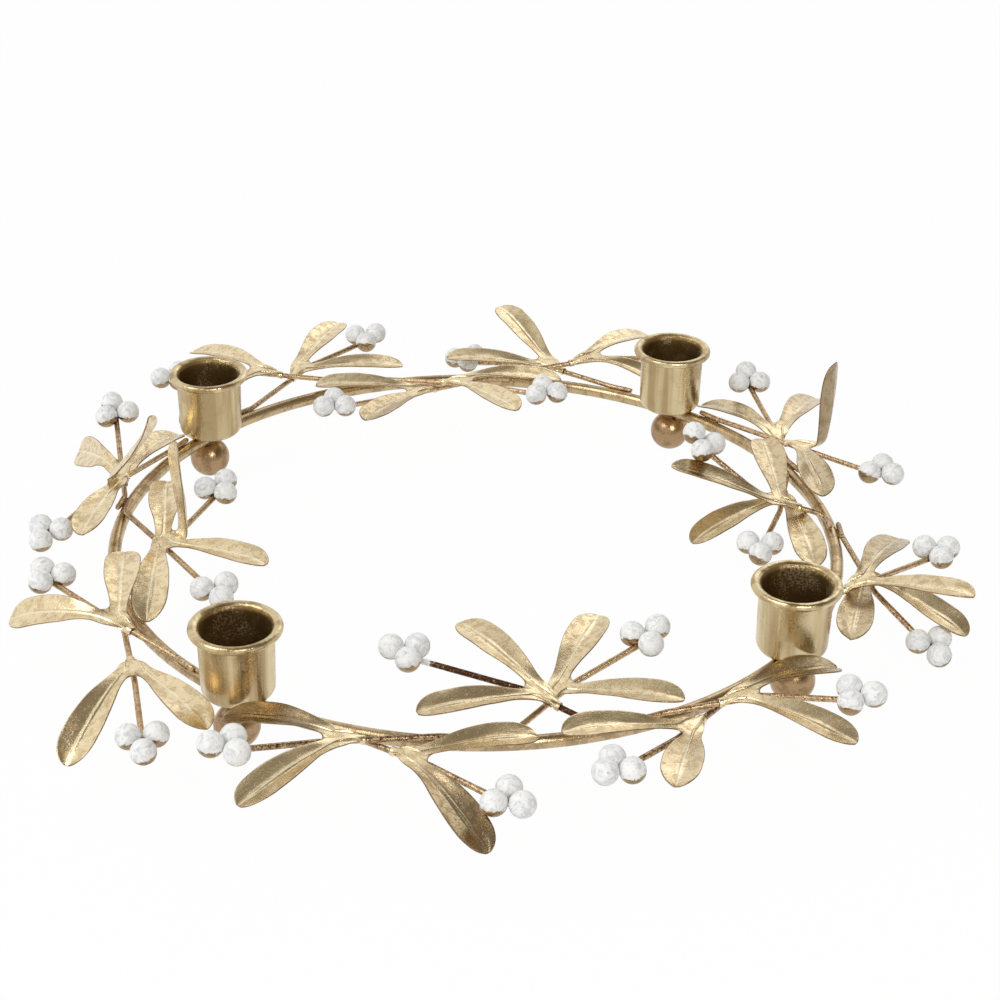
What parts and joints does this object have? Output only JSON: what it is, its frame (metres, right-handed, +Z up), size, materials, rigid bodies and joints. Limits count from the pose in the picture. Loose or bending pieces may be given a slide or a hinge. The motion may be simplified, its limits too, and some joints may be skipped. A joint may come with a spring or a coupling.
{
  "type": "candle ring",
  "caption": "Low metal wreath for taper candles: a hoop on ball feet with candle cups and crossed mistletoe sprigs of stamped leaves and white berries.",
  "frame": {"origin": "the hoop's centre, on the table that the ball feet stand on", "axes": "+Z up, the front faces -Y, +X to the right seen from the front"},
  "size_m": [0.3251, 0.3464, 0.0614],
  "materials": {
    "rod_metal": "satin, copper bronze",
    "cup_metal": "satin",
    "ball_metal": "polished, aged",
    "leaf_metal": "mottled antique gold",
    "berry_paint": "white paint over brass, worn below"
  },
  "bodies": {
    "root": {"base_ring": "rod_metal", "candle_cup_1": "cup_metal", "ball_foot_1": "ball_metal", "candle_cup_2": "cup_metal", "ball_foot_2": "ball_metal", "candle_cup_3": "cup_metal", "ball_foot_3": "ball_metal", "candle_cup_4": "cup_metal", "ball_foot_4": "ball_metal", "twig_pair_01": "rod_metal", "berries_01": "berry_paint", "twig_pair_02": "rod_metal", "berries_02": "berry_paint", "twig_pair_03": "rod_metal", "berries_03": "berry_paint", "twig_pair_04": "rod_metal", "berries_04": "berry_paint", "twig_pair_05": "rod_metal", "berries_05": "berry_paint", "twig_pair_06": "rod_metal", "berries_06": "berry_paint", "twig_pair_07": "rod_metal", "berries_07": "berry_paint", "twig_pair_08": "rod_metal", "berries_08": "berry_paint", "twig_pair_09": "rod_metal", "berries_09": "berry_paint", "twig_pair_10": "rod_metal", "berries_10": "berry_paint", "twig_pair_11": "rod_metal", "berries_11": "berry_paint", "twig_pair_12": "rod_metal", "berries_12": "berry_paint", "leaf_pair_01": "leaf_metal", "leaf_pair_02": "leaf_metal", "leaf_pair_03": "leaf_metal", "leaf_pair_04": "leaf_metal", "leaf_pair_05": "leaf_metal", "leaf_pair_06": "leaf_metal", "leaf_pair_07": "leaf_metal", "leaf_pair_08": "leaf_metal", "leaf_pair_09": "leaf_metal", "leaf_pair_10": "leaf_metal", "leaf_pair_11": "leaf_metal", "leaf_pair_12": "leaf_metal", "leaf_pair_13": "leaf_metal", "leaf_pair_14": "leaf_metal", "leaf_pair_15": "leaf_metal", "leaf_pair_16": "leaf_metal", "leaf_pair_17": "leaf_metal", "leaf_pair_18": "leaf_metal", "leaf_pair_19": "leaf_metal", "leaf_pair_20": "leaf_metal", "leaf_pair_21": "leaf_metal", "leaf_pair_22": "leaf_metal", "leaf_pair_23": "leaf_metal", "leaf_pair_24": "leaf_metal"}
  },
  "joints": []
}
